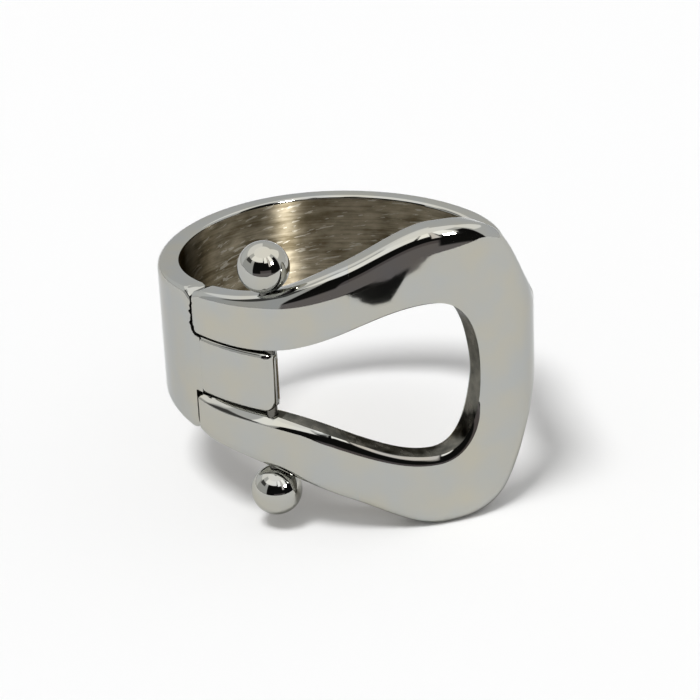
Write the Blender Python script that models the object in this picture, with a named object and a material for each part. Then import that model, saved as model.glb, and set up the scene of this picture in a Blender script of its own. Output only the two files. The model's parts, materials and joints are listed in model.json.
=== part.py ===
"""Stirrup-front finger ring with a ball-ended hinge pin, built as separate pieces.

Frame: +Z is the axis of the finger hole, -Y is the open stirrup front,
+X is the side where the stirrup meets the shank.  The origin is the middle
of the finger hole at half height.  Lengths are metres, angles are degrees
round the finger hole from +X.  The ring is the same above and below its
middle plane, so heights are given for the upper half.
"""
import math

import bmesh
import bpy
from mathutils import Matrix, Vector

MM = 0.001

# ---------------------------------------------------------------- plan of the ring
# A circle that is bent in or out at four places, each with a middle and a reach.
RING_RADIUS = 10.70 * MM
FRONT_SWELL = 0.95 * MM            # the stirrup's front stands out
FRONT_SWELL_ANGLE = -42.0
FRONT_SWELL_REACH = 48.0
SIDE_DIP = 1.05 * MM               # the side next to it is drawn in
SIDE_DIP_ANGLE = 4.0
SIDE_DIP_REACH = 44.0
SIDE_CORNER = 0.40 * MM            # corner between that side and the back
SIDE_CORNER_ANGLE = 55.0
SIDE_CORNER_REACH = 38.0
SHOULDER_DIP = 0.12 * MM           # slightly flatter shoulders
SHOULDER_DIP_ANGLE = -138.0
SHOULDER_DIP_REACH = 42.0

# ---------------------------------------------------------------- walls and edges
SHANK_WALL = 1.25 * MM
STIRRUP_WALL = 1.36 * MM
THICKENING_ANGLE = 40.0            # over which the shank grows to the stirrup's wall
SHANK_EDGE_ROUND = 0.50 * MM
INNER_ROUND = 0.20 * MM            # easing of every edge next to the finger
ROUND_DEPTH_SHARE = 0.32           # depth of an outer rounding against its width

# ---------------------------------------------------------------- joint lines
SEAM_ANGLE = -144.0                # where the stirrup's arms meet the shoulders
SEAM_GAP = 0.14 * MM
PARTING_ANGLE = 0.0                # where the stirrup's far end meets the shank
PARTING_HALF_HEIGHT = 2.40 * MM    # both ends have this half height there
PARTING_GAP = 0.10 * MM
LAP_ANGLE = 6.0                    # length of the half-lap
LAP_WALL = 0.60 * MM               # thickness of the stirrup's lip
LAP_CLEARANCE = 0.08 * MM
SPARE_ANGLE = 8.0                  # what a blank is longer than its trimmed end

# ---------------------------------------------------------------- hinge
PIN_ANGLE = -116.4
PIN_DEPTH = 0.64 * MM              # pin axis below the outer face
PIN_RADIUS = 0.30 * MM
BORE_CLEARANCE = 0.04 * MM
BALL_RADIUS = 1.40 * MM
BALL_SEAT_GAP = 0.02 * MM          # between a ball and the arm under it
BALL_CLEARANCE = 0.02 * MM         # round the pin in each ball's hole
BALL_END_GAP = 0.05 * MM           # between the pin's end and the hole's floor
BALL_HOLE_DEPTH = 1.00 * MM

# ---------------------------------------------------------------- tongue
TONGUE_ROOT_HALF_HEIGHT = 1.65 * MM   # at the seam
TONGUE_TIP_HALF_HEIGHT = 1.50 * MM    # just before the nose
TONGUE_TIP_ANGLE = -113.2
TONGUE_EDGE_ROUND = 0.22 * MM
TONGUE_NOSE_ANGLE = 2.4            # length of the rounded nose
TONGUE_NOSE_DROP = 0.30 * MM       # how much lower the nose ends
TONGUE_CLEARANCE = 0.22 * MM       # between the tongue's root and each arm
TONGUE_ROOT_SHARE = 0.93           # thickness of the root, which is buried in the shank
TONGUE_BURIED_ANGLE = 1.5          # before the seam the root ends
TONGUE_FLUSH_ANGLE = 0.3           # after the seam the tongue is as thick as the arms

# ---------------------------------------------------------------- shank
SHANK_SIDE_HALF_HEIGHT = 2.90 * MM
SHANK_SIDE_ANGLE = 45.0
SHANK_BACK_HALF_HEIGHT = 3.60 * MM
SHANK_BACK_ANGLE = 90.0
SHOULDER_HALF_HEIGHT = 4.00 * MM
SHOULDER_ANGLE = 195.0

# ---------------------------------------------------------------- stirrup's outline
HEEL_HALF_HEIGHT = 4.25 * MM       # at the seam, the shank's too
ARM_HALF_HEIGHT = 5.05 * MM        # at the pin
FLANK_HALF_HEIGHT = 6.70 * MM
FLANK_ANGLE = -92.0
CROWN_HALF_HEIGHT = 8.60 * MM
CROWN_ANGLE = -65.0
CORNER_HALF_HEIGHT = 7.80 * MM     # where the fall to the far side begins
CORNER_ANGLE = -46.0
WAIST_HALF_HEIGHT = 4.10 * MM      # where it ends
WAIST_ANGLE = -30.0
FOOT_HALF_HEIGHT = 2.40 * MM
FOOT_ANGLE = -18.0
HEEL_EDGE_ROUND = 0.50 * MM        # outline's rounding at the seam and the parting
CROWN_EDGE_ROUND = 1.06 * MM

# ---------------------------------------------------------------- stirrup's window
WINDOW_START_ANGLE = -131.0        # the arms are parallel up to here
WINDOW_WIDEST_ANGLE = -67.5
WINDOW_END_ANGLE = -53.0
WINDOW_HALF_HEIGHT = 4.45 * MM
WINDOW_LATENESS = 1.40             # 1 opens evenly, more opens later
WINDOW_SQUARENESS = 2.3            # of the round end: 2 is an ellipse
SLOT_EDGE_ROUND = 0.10 * MM        # window's rounding at the seam
ARM_EDGE_ANGLE = -106.0            # where that rounding is widest
ARM_EDGE_ROUND = 0.98 * MM
WINDOW_EDGE_ROUND = 0.64 * MM      # at the window's end

# ---------------------------------------------------------------- fineness
ARM_RIBS = 30                      # sections from the seam to the window's widest place
END_RIBS = 26                      # sections round the window's end
END_FAN = 89.0                     # degrees of the round end that they cover
ARM_FAN = 1.2                      # 1 spaces both edges alike, more gathers the outline's
FAR_FAN = 6                        # how late the outline runs on to the far end
FACE_STEPS = 9                     # strips across the stirrup's face
SHANK_FACE_STEPS = 4
TONGUE_FACE_STEPS = 3
OUTER_ROUND_STEPS = 5              # strips round an outer edge
INNER_ROUND_STEPS = 2
SHANK_STEP = 4.0                   # degrees between the shank's sections
TONGUE_STEPS = 12
NOSE_STEPS = 6
CUTTER_STEP = 1.5
PIN_SEGMENTS = 24
SHOULDER_SEGMENTS = 96
BALL_SEGMENTS = 32
BALL_RINGS = 20
HEEL_CUT_SPREAD = 40.0             # degrees to each side of the seam, seen from the pin
HEEL_CUT_STEPS = 20
SHARP_ANGLE = 32.0                 # edges bent more than this are shaded sharp
WELD = 0.002 * MM

STIRRUP_COLOUR = (0.74, 0.73, 0.69, 1.0)
SHANK_COLOUR = (0.70, 0.69, 0.65, 1.0)
PIN_COLOUR = (0.62, 0.61, 0.58, 1.0)
BALL_COLOUR = (0.80, 0.79, 0.77, 1.0)

ARM_INNER = TONGUE_ROOT_HALF_HEIGHT + TONGUE_CLEARANCE
SHANK_SEAM_ANGLE = SEAM_ANGLE + 360.0   # the same seam, reached round the back
CUTTER_TALL = 1.3 * CROWN_HALF_HEIGHT   # above everything
CUTTER_OUT = 0.3 * RING_RADIUS          # outside everything
CUTTER_IN = 3.0 * STIRRUP_WALL          # well inside the finger hole
CUTTER_SPARE_ANGLE = 3.0 * SPARE_ANGLE  # past the end of every blank


# ---------------------------------------------------------------- plan helpers
def eased(value, start, end):
    """0 at the start, 1 at the end and smooth between."""
    share = min(max((value - start) / (end - start), 0.0), 1.0)
    return share * share * (3.0 - 2.0 * share)


def hump(angle, middle, reach):
    """Raised cosine, 1 at the middle and 0 from the reach outwards."""
    offset = abs((angle - middle + 180.0) % 360.0 - 180.0)
    if offset >= reach:
        return 0.0
    return 0.5 + 0.5 * math.cos(math.pi * offset / reach)


def plan_radius(angle):
    radius = RING_RADIUS
    radius += FRONT_SWELL * hump(angle, FRONT_SWELL_ANGLE, FRONT_SWELL_REACH)
    radius -= SIDE_DIP * hump(angle, SIDE_DIP_ANGLE, SIDE_DIP_REACH)
    radius += SIDE_CORNER * hump(angle, SIDE_CORNER_ANGLE, SIDE_CORNER_REACH)
    radius -= SHOULDER_DIP * hump(angle, SHOULDER_DIP_ANGLE, SHOULDER_DIP_REACH)
    return radius


def outer_point(angle):
    turn = math.radians(angle)
    radius = plan_radius(angle)
    return Vector((radius * math.cos(turn), radius * math.sin(turn)))


def plan_point(angle, depth):
    """Point in plan, the given depth inside the ring's outer face."""
    along = outer_point(angle + 0.5) - outer_point(angle - 0.5)
    outward = Vector((along.y, -along.x)).normalized()
    return outer_point(angle) - outward * depth


def surface_point(angle, height, depth):
    place = plan_point(angle, depth)
    return Vector((place.x, place.y, height))


PIN_PLACE = plan_point(PIN_ANGLE, PIN_DEPTH)
HEEL_REACH = (outer_point(SEAM_ANGLE) - PIN_PLACE).length


# ---------------------------------------------------------------- sizes that change round the ring
def value_through(stations, angle):
    """Smooth value through (angle, value) stations, without overshoot."""
    rises = []
    for (start, low), (end, high) in zip(stations, stations[1:]):
        rises.append((high - low) / (end - start))
    slopes = [rises[0]]
    for before, after in zip(rises, rises[1:]):
        steepest = 3.0 * min(abs(before), abs(after))
        mean = (before + after) / 2.0
        if before * after <= 0.0:
            slopes.append(0.0)
        else:
            slopes.append(math.copysign(min(abs(mean), steepest), mean))
    slopes.append(rises[-1])
    angle = min(max(angle, stations[0][0]), stations[-1][0])
    index = 0
    while angle > stations[index + 1][0]:
        index += 1
    start, low = stations[index]
    end, high = stations[index + 1]
    span = end - start
    share = (angle - start) / span
    up = share * share * (3.0 - 2.0 * share)
    leave = share * (1.0 - share) ** 2
    arrive = share * share * (1.0 - share)
    bend = span * (slopes[index] * leave - slopes[index + 1] * arrive)
    return low + (high - low) * up + bend


def shank_half_height(angle):
    return value_through((
        (PARTING_ANGLE, PARTING_HALF_HEIGHT),
        (SHANK_SIDE_ANGLE, SHANK_SIDE_HALF_HEIGHT),
        (SHANK_BACK_ANGLE, SHANK_BACK_HALF_HEIGHT),
        (SHOULDER_ANGLE, SHOULDER_HALF_HEIGHT),
        (SHANK_SEAM_ANGLE, HEEL_HALF_HEIGHT),
    ), angle)


def outline_half_height(angle):
    return value_through((
        (SEAM_ANGLE, HEEL_HALF_HEIGHT),
        (PIN_ANGLE, ARM_HALF_HEIGHT),
        (FLANK_ANGLE, FLANK_HALF_HEIGHT),
        (CROWN_ANGLE, CROWN_HALF_HEIGHT),
        (CORNER_ANGLE, CORNER_HALF_HEIGHT),
        (WAIST_ANGLE, WAIST_HALF_HEIGHT),
        (FOOT_ANGLE, FOOT_HALF_HEIGHT),
        (PARTING_ANGLE, PARTING_HALF_HEIGHT),
    ), angle)


def window_half_height(angle):
    """Parallel slot beside the tongue that opens towards its widest place."""
    span = WINDOW_WIDEST_ANGLE - WINDOW_START_ANGLE
    share = min(max((angle - WINDOW_START_ANGLE) / span, 0.0), 1.0)
    opening = 0.5 - 0.5 * math.cos(math.pi * share ** WINDOW_LATENESS)
    return ARM_INNER + (WINDOW_HALF_HEIGHT - ARM_INNER) * opening


def outline_round(angle):
    rise = eased(angle, SEAM_ANGLE, FLANK_ANGLE)
    fall = eased(angle, CROWN_ANGLE, FOOT_ANGLE)
    return HEEL_EDGE_ROUND + (CROWN_EDGE_ROUND - HEEL_EDGE_ROUND) * (rise - fall)


def window_round(angle):
    return value_through((
        (SEAM_ANGLE, SLOT_EDGE_ROUND),
        (ARM_EDGE_ANGLE, ARM_EDGE_ROUND),
        (WINDOW_END_ANGLE, WINDOW_EDGE_ROUND),
    ), angle)


def shank_wall(angle):
    """The shank thickens to the stirrup's wall at both of its ends."""
    from_far_end = eased(angle, PARTING_ANGLE, PARTING_ANGLE + THICKENING_ANGLE)
    from_seam = eased(angle, SHANK_SEAM_ANGLE, SHANK_SEAM_ANGLE - THICKENING_ANGLE)
    return STIRRUP_WALL + (SHANK_WALL - STIRRUP_WALL) * min(from_far_end, from_seam)


def ball_height():
    """Centre of a ball that rests on the arm's sloping edge at the pin."""
    rise = outline_half_height(PIN_ANGLE + 1.0) - outline_half_height(PIN_ANGLE - 1.0)
    run = (plan_point(PIN_ANGLE + 1.0, PIN_DEPTH) - plan_point(PIN_ANGLE - 1.0, PIN_DEPTH)).length
    slope = math.atan2(rise, run)
    return ARM_HALF_HEIGHT + (BALL_RADIUS + BALL_SEAT_GAP) / math.cos(slope)


# ---------------------------------------------------------------- mesh helpers
def make_object(name, mesh_data, collection):
    mesh = bpy.data.meshes.new(name)
    mesh_data.to_mesh(mesh)
    mesh_data.free()
    item = bpy.data.objects.new(name, mesh)
    collection.objects.link(item)
    return item


def give_metal(item, colour, roughness):
    material = bpy.data.materials.new(item.name)
    material.use_nodes = True
    shader = material.node_tree.nodes["Principled BSDF"]
    shader.inputs["Base Color"].default_value = colour
    shader.inputs["Roughness"].default_value = roughness
    shader.inputs["Metallic"].default_value = 1.0
    item.data.materials.clear()
    item.data.materials.append(material)


def loft(mesh_data, sections):
    """Skin closed sections of equal length and cap both ends."""
    rings = []
    for section in sections:
        rings.append([mesh_data.verts.new(point) for point in section])
    count = len(rings[0])
    for first, second in zip(rings, rings[1:]):
        for index in range(count):
            after = (index + 1) % count
            mesh_data.faces.new((first[index], first[after], second[after], second[index]))
    mesh_data.faces.new(rings[0][::-1])
    mesh_data.faces.new(rings[-1])
    bmesh.ops.recalc_face_normals(mesh_data, faces=mesh_data.faces)


def quarter_round(steps):
    """Pairs that run from (0, 1) to (1, 0) round a quarter circle."""
    pairs = []
    for index in range(steps + 1):
        turn = 0.5 * math.pi * index / steps
        pairs.append((1.0 - math.cos(turn), 1.0 - math.sin(turn)))
    return pairs


def wall_section(width, wall, low_round, high_round, face_steps):
    """Closed section of a curved wall: (distance across, depth below the face)."""
    points = []
    for across, down in quarter_round(OUTER_ROUND_STEPS):
        points.append((across * low_round, down * low_round * ROUND_DEPTH_SHARE))
    for index in range(1, face_steps):
        flat = width - low_round - high_round
        points.append((low_round + flat * index / face_steps, 0.0))
    for across, down in reversed(quarter_round(OUTER_ROUND_STEPS)):
        points.append((width - across * high_round, down * high_round * ROUND_DEPTH_SHARE))
    for across, down in quarter_round(INNER_ROUND_STEPS):
        points.append((width - across * INNER_ROUND, wall - down * INNER_ROUND))
    for index in range(face_steps - 1, 0, -1):
        flat = width - 2.0 * INNER_ROUND
        points.append((INNER_ROUND + flat * index / face_steps, wall))
    for across, down in reversed(quarter_round(INNER_ROUND_STEPS)):
        points.append((across * INNER_ROUND, wall - down * INNER_ROUND))
    return points


def cut(target, cutter, operation):
    """Apply one exact Boolean at once, so that the next one sees its result."""
    modifier = target.modifiers.new(cutter.name, "BOOLEAN")
    modifier.operation = operation
    modifier.solver = "EXACT"
    modifier.object = cutter
    bpy.context.view_layer.update()
    graph = bpy.context.evaluated_depsgraph_get()
    mesh = bpy.data.meshes.new_from_object(target.evaluated_get(graph))
    target.modifiers.remove(modifier)
    old = target.data
    target.data = mesh
    bpy.data.meshes.remove(old)


def cylinder(name, radius, bottom, top, centre, segments, collection):
    data = bmesh.new()
    bmesh.ops.create_cone(data, cap_ends=True, segments=segments, radius1=radius,
                          radius2=radius, depth=top - bottom)
    shift = Vector((centre.x, centre.y, (top + bottom) / 2.0))
    bmesh.ops.translate(data, verts=data.verts, vec=shift)
    return make_object(name, data, collection)


def sector_wall(name, start, end, top_depth, low_depth, collection):
    """Curved block between two angles and two depths, used as a cutter."""
    data = bmesh.new()
    sections = []
    steps = max(2, int(abs(end - start) / CUTTER_STEP))
    for index in range(steps + 1):
        angle = start + (end - start) * index / steps
        sections.append([
            surface_point(angle, CUTTER_TALL, top_depth),
            surface_point(angle, CUTTER_TALL, low_depth),
            surface_point(angle, -CUTTER_TALL, low_depth),
            surface_point(angle, -CUTTER_TALL, top_depth),
        ])
    loft(data, sections)
    return make_object(name, data, collection)


def finish_smooth(item):
    """Weld slivers and shade the round faces smooth, the flat ones flat."""
    data = bmesh.new()
    data.from_mesh(item.data)
    bmesh.ops.remove_doubles(data, verts=data.verts, dist=WELD)
    bmesh.ops.dissolve_degenerate(data, edges=data.edges, dist=WELD / 2.0)
    bmesh.ops.recalc_face_normals(data, faces=data.faces)
    data.to_mesh(item.data)
    data.free()
    item.data.shade_smooth()
    item.data.set_sharp_from_angle(angle=math.radians(SHARP_ANGLE))


def move_origin(item, place):
    """Put the object's origin on the hinge axis without moving its shape."""
    item.data.transform(Matrix.Translation(-place))
    item.location = place


# ---------------------------------------------------------------- stirrup
def rib_section(window, outline, side):
    """Section of the loop from a place on the window to one on the outline."""
    window_angle, window_height = window
    outline_angle, outline_height = outline
    turn = math.radians(outline_angle - window_angle)
    arc = turn * plan_radius((window_angle + outline_angle) / 2.0)
    width = math.hypot(arc, outline_height - window_height)
    section = []
    for across, depth in wall_section(width, STIRRUP_WALL, window_round(window_angle),
                                      outline_round(outline_angle), FACE_STEPS):
        share = across / width
        angle = window_angle + (outline_angle - window_angle) * share
        height = window_height + (outline_height - window_height) * share
        section.append(surface_point(angle, height * side, depth))
    return section


def arm_ribs():
    """Ribs from the arm's end to the window's widest place and the crown."""
    start = SEAM_ANGLE - SPARE_ANGLE
    ribs = []
    for index in range(ARM_RIBS):
        share = index / ARM_RIBS
        window_angle = start + (WINDOW_WIDEST_ANGLE - start) * share
        outline_angle = start + (CROWN_ANGLE - start) * share ** ARM_FAN
        ribs.append(((window_angle, window_half_height(window_angle)),
                     (outline_angle, outline_half_height(outline_angle))))
    return ribs


def end_ribs():
    """Ribs that fan round the window's end, down to the middle plane."""
    reach = WINDOW_END_ANGLE - WINDOW_WIDEST_ANGLE
    last = PARTING_ANGLE + LAP_ANGLE + SPARE_ANGLE
    power = 2.0 / WINDOW_SQUARENESS
    ribs = []
    for index in range(END_RIBS):
        share = index / (END_RIBS - 1)
        turn = math.radians(END_FAN * share)
        window_angle = WINDOW_WIDEST_ANGLE + reach * math.sin(turn) ** power
        window_height = WINDOW_HALF_HEIGHT * math.cos(turn) ** power
        near = CROWN_ANGLE + (FOOT_ANGLE - CROWN_ANGLE) * share
        outline_angle = near + (last - FOOT_ANGLE) * share ** FAR_FAN
        ribs.append(((window_angle, window_height),
                     (outline_angle, outline_half_height(outline_angle))))
    ribs.append(((WINDOW_END_ANGLE, 0.0), (last, 0.0)))
    return ribs


def heel_cutter(cutters):
    """Block beyond a circle round the pin, to trim the arms' ends to it."""
    far = outer_point(SEAM_ANGLE) - PIN_PLACE
    heading = math.degrees(math.atan2(far.y, far.x))
    sections = []
    for index in range(HEEL_CUT_STEPS + 1):
        share = 2.0 * index / HEEL_CUT_STEPS - 1.0
        turn = math.radians(heading + HEEL_CUT_SPREAD * share)
        way = Vector((math.cos(turn), math.sin(turn)))
        near = PIN_PLACE + way * HEEL_REACH
        beyond = PIN_PLACE + way * 2.0 * HEEL_REACH
        sections.append([
            Vector((near.x, near.y, CUTTER_TALL)),
            Vector((beyond.x, beyond.y, CUTTER_TALL)),
            Vector((beyond.x, beyond.y, -CUTTER_TALL)),
            Vector((near.x, near.y, -CUTTER_TALL)),
        ])
    data = bmesh.new()
    loft(data, sections)
    return make_object("cut_heel", data, cutters)


def build_stirrup(parts, cutters):
    """Loop with two arms; its window is the open gap between the ribs."""
    upper = arm_ribs() + end_ribs()
    sections = [rib_section(window, outline, 1.0) for window, outline in upper]
    for window, outline in reversed(upper[:-1]):
        sections.append(rib_section(window, outline, -1.0))
    data = bmesh.new()
    loft(data, sections)
    stirrup = make_object("stirrup_loop", data, parts)

    beyond = PARTING_ANGLE + LAP_ANGLE + CUTTER_SPARE_ANGLE
    cut(stirrup, heel_cutter(cutters), "DIFFERENCE")
    cut(stirrup, sector_wall("cut_inner_end", PARTING_ANGLE, beyond, LAP_WALL, CUTTER_IN,
                             cutters), "DIFFERENCE")
    cut(stirrup, sector_wall("cut_lip_end", PARTING_ANGLE + LAP_ANGLE, beyond, -CUTTER_OUT,
                             CUTTER_IN, cutters), "DIFFERENCE")
    cut(stirrup, cylinder("cut_arm_bore", PIN_RADIUS + BORE_CLEARANCE, -CUTTER_TALL,
                          CUTTER_TALL, PIN_PLACE, PIN_SEGMENTS, cutters), "DIFFERENCE")
    finish_smooth(stirrup)
    give_metal(stirrup, STIRRUP_COLOUR, 0.12)
    move_origin(stirrup, PIN_PLACE.to_3d())


# ---------------------------------------------------------------- shank
def shank_blank(parts):
    """Tapering band from the shoulders round the back to the far end."""
    start = SHANK_SEAM_ANGLE + SPARE_ANGLE
    end = PARTING_ANGLE - SPARE_ANGLE
    steps = round((start - end) / SHANK_STEP)
    sections = []
    for index in range(steps + 1):
        angle = start + (end - start) * index / steps
        half = shank_half_height(angle)
        section = []
        for across, depth in wall_section(2.0 * half, shank_wall(angle), SHANK_EDGE_ROUND,
                                          SHANK_EDGE_ROUND, SHANK_FACE_STEPS):
            section.append(surface_point(angle, across - half, depth))
        sections.append(section)
    data = bmesh.new()
    loft(data, sections)
    return make_object("shank", data, parts)


def tongue_blank(cutters):
    """Tapering tongue that reaches between the arms and ends in a rounded nose."""
    root = SEAM_ANGLE - SPARE_ANGLE
    nose = TONGUE_TIP_ANGLE - TONGUE_NOSE_ANGLE
    flush = SEAM_ANGLE + TONGUE_FLUSH_ANGLE
    places = [(root, TONGUE_ROOT_SHARE), (SEAM_ANGLE - TONGUE_BURIED_ANGLE, TONGUE_ROOT_SHARE)]
    for index in range(TONGUE_STEPS + 1):
        places.append((flush + (nose - flush) * index / TONGUE_STEPS, 1.0))
    for index in range(1, NOSE_STEPS + 1):
        turn = 0.5 * math.pi * index / (NOSE_STEPS + 0.5)
        places.append((nose + TONGUE_NOSE_ANGLE * math.sin(turn), math.cos(turn)))
    middle = STIRRUP_WALL / 2.0
    sections = []
    for angle, share in places:
        along = min(max((angle - SEAM_ANGLE) / (nose - SEAM_ANGLE), 0.0), 1.0)
        half = TONGUE_ROOT_HALF_HEIGHT
        half += (TONGUE_TIP_HALF_HEIGHT - TONGUE_ROOT_HALF_HEIGHT) * along
        half -= TONGUE_NOSE_DROP * (1.0 - share)
        section = []
        for across, depth in wall_section(2.0 * half, STIRRUP_WALL, TONGUE_EDGE_ROUND,
                                          TONGUE_EDGE_ROUND, TONGUE_FACE_STEPS):
            thinned = middle + (depth - middle) * share
            section.append(surface_point(angle, across - half, thinned))
        sections.append(section)
    data = bmesh.new()
    loft(data, sections)
    return make_object("add_tongue", data, cutters)


def build_shank(parts, cutters):
    shank = shank_blank(parts)
    gap = math.degrees(PARTING_GAP / RING_RADIUS)
    before = PARTING_ANGLE - CUTTER_SPARE_ANGLE
    cut(shank, cylinder("cut_shoulder", HEEL_REACH + SEAM_GAP, -CUTTER_TALL, CUTTER_TALL,
                        PIN_PLACE, SHOULDER_SEGMENTS, cutters), "DIFFERENCE")
    cut(shank, sector_wall("cut_shank_end", before, PARTING_ANGLE + gap, -CUTTER_OUT,
                           CUTTER_IN, cutters), "DIFFERENCE")
    cut(shank, sector_wall("cut_shank_rebate", before, PARTING_ANGLE + LAP_ANGLE + gap,
                           -CUTTER_OUT, LAP_WALL + LAP_CLEARANCE, cutters), "DIFFERENCE")
    cut(shank, tongue_blank(cutters), "UNION")
    cut(shank, cylinder("cut_tongue_bore", PIN_RADIUS + BORE_CLEARANCE, -CUTTER_TALL,
                        CUTTER_TALL, PIN_PLACE, PIN_SEGMENTS, cutters), "DIFFERENCE")
    finish_smooth(shank)
    give_metal(shank, SHANK_COLOUR, 0.16)


# ---------------------------------------------------------------- pin and balls
def build_pin(parts):
    """Plain hinge pin; its ends are hidden in the balls."""
    tip = ball_height() - BALL_RADIUS + BALL_HOLE_DEPTH - BALL_END_GAP
    pin = cylinder("hinge_pin", PIN_RADIUS, -tip, tip, Vector((0.0, 0.0)), PIN_SEGMENTS, parts)
    pin.location = PIN_PLACE.to_3d()
    finish_smooth(pin)
    give_metal(pin, PIN_COLOUR, 0.2)


def build_ball(name, side, parts, cutters):
    """Ball on one end of the pin; its blind hole opens towards the arms."""
    data = bmesh.new()
    bmesh.ops.create_uvsphere(data, u_segments=BALL_SEGMENTS, v_segments=BALL_RINGS,
                              radius=BALL_RADIUS)
    ball = make_object(name, data, parts)
    floor = side * (BALL_HOLE_DEPTH - BALL_RADIUS)
    mouth = -side * CUTTER_TALL
    hole = cylinder("cut_" + name, PIN_RADIUS + BALL_CLEARANCE, min(mouth, floor),
                    max(mouth, floor), Vector((0.0, 0.0)), PIN_SEGMENTS, cutters)
    cut(ball, hole, "DIFFERENCE")
    place = Vector((PIN_PLACE.x, PIN_PLACE.y, side * ball_height()))
    ball.location = place
    hole.location = place
    finish_smooth(ball)
    give_metal(ball, BALL_COLOUR, 0.06)


def main():
    for item in list(bpy.data.objects):
        bpy.data.objects.remove(item, do_unlink=True)
    parts = bpy.data.collections.new("stirrup_ring")
    cutters = bpy.data.collections.new("stirrup_ring_cutters")
    bpy.context.scene.collection.children.link(parts)
    bpy.context.scene.collection.children.link(cutters)

    build_shank(parts, cutters)
    build_stirrup(parts, cutters)
    build_pin(parts)
    build_ball("upper_ball", 1.0, parts, cutters)
    build_ball("lower_ball", -1.0, parts, cutters)

    for cutter in cutters.objects:
        cutter.hide_render = True
        cutter.display_type = "WIRE"
    for item in parts.objects:
        print(item.name, len(item.data.polygons), "faces")
    print("hinge axis at", tuple(round(value, 6) for value in PIN_PLACE))


main()
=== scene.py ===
import json
import math

import bmesh
import bpy
from mathutils import Matrix, Vector, noise


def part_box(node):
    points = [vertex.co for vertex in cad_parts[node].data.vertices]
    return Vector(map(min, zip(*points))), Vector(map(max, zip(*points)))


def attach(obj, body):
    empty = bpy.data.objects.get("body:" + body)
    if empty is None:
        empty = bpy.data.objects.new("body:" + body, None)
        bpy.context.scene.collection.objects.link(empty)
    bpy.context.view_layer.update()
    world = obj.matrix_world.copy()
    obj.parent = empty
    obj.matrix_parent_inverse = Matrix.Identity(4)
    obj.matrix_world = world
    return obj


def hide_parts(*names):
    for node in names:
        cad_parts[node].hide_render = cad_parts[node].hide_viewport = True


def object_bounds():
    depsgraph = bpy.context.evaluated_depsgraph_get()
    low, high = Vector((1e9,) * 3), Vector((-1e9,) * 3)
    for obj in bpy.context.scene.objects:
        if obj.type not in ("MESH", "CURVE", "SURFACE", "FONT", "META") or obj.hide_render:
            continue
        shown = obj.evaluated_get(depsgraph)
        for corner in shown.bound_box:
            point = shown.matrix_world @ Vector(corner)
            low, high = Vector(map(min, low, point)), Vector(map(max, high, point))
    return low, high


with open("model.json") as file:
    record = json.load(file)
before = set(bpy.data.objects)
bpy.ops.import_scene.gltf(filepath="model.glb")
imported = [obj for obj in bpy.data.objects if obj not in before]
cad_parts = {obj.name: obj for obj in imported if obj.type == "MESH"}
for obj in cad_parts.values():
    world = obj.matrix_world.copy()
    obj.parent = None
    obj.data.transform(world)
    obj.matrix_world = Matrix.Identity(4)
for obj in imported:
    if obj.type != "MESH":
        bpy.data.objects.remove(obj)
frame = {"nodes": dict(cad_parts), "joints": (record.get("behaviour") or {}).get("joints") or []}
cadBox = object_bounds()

print("frame loaded:", ", ".join(sorted(frame["nodes"])))

mm = 0.001
scene = bpy.context.scene
hinge = [joint for joint in frame["joints"] if joint["name"] == "stirrup_hinge"][0]
pinPlace = Vector(hinge["pos_m"])

# the ring in plan: a circle bent in or out at four places
# angles are in degrees, 0 on the right side and -90 in front
ringPlan = {
    "radius": 10.70 * mm,
    "bends": (  # how far out, middle angle, reach
        (0.95 * mm, -42.0, 48.0),
        (-1.05 * mm, 4.0, 44.0),
        (0.40 * mm, 55.0, 38.0),
        (-0.12 * mm, -138.0, 42.0),
    ),
    "seamAngle": -144.0,  # where the arms' heels meet the band
    "seamGap": 0.20 * mm,
    "lowerSeamGap": 0.06 * mm,
    "partingGap": 0.10 * mm,  # at the lap, on the other side
    "lapAngle": 6.0,
    "lapWall": 0.60 * mm,
    "lapClearance": 0.08 * mm,
    "innerRound": 0.20 * mm,
    "tangentStep": 0.5,
}


def eased(value, start, end):
    share = min(max((value - start) / (end - start), 0.0), 1.0)
    return share * share * (3.0 - 2.0 * share)


def planRadius(angle):
    radius = ringPlan["radius"]
    for rise, middle, reach in ringPlan["bends"]:
        offset = abs((angle - middle + 180.0) % 360.0 - 180.0)
        if offset < reach:
            radius += rise * (0.5 + 0.5 * math.cos(math.pi * offset / reach))
    return radius


def outerPoint(angle):
    turn = math.radians(angle)
    radius = planRadius(angle)
    return Vector((radius * math.cos(turn), radius * math.sin(turn)))


def planPoint(angle, depth):  # the given depth inside the outer face
    step = ringPlan["tangentStep"]
    along = outerPoint(angle + step) - outerPoint(angle - step)
    outward = Vector((along.y, -along.x)).normalized()
    return outerPoint(angle) - outward * depth


def wallPoint(angle, height, depth):
    place = planPoint(angle, depth)
    return Vector((place.x, place.y, height))


# the heels swing on a circle of this radius round the pin
heelReach = (outerPoint(ringPlan["seamAngle"]) - pinPlace.xy).length


def valueThrough(stations, angle):  # smooth, never past a station
    rises = []
    for (start, low), (end, high) in zip(stations, stations[1:]):
        rises.append((high - low) / (end - start))
    slopes = [rises[0]]
    for before, after in zip(rises, rises[1:]):
        mean = (before + after) / 2.0
        steepest = 3.0 * min(abs(before), abs(after))  # anything steeper would overshoot
        turning = before * after <= 0.0
        slopes.append(0.0 if turning else math.copysign(min(abs(mean), steepest), mean))
    slopes.append(rises[-1])
    angle = min(max(angle, stations[0][0]), stations[-1][0])
    index = 0
    while angle > stations[index + 1][0]:
        index += 1
    start, low = stations[index]
    end, high = stations[index + 1]
    span = end - start
    share = (angle - start) / span
    bend = slopes[index] * share * (1.0 - share) ** 2
    bend -= slopes[index + 1] * share * share * (1.0 - share)
    return low + (high - low) * share * share * (3.0 - 2.0 * share) + span * bend


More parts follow.
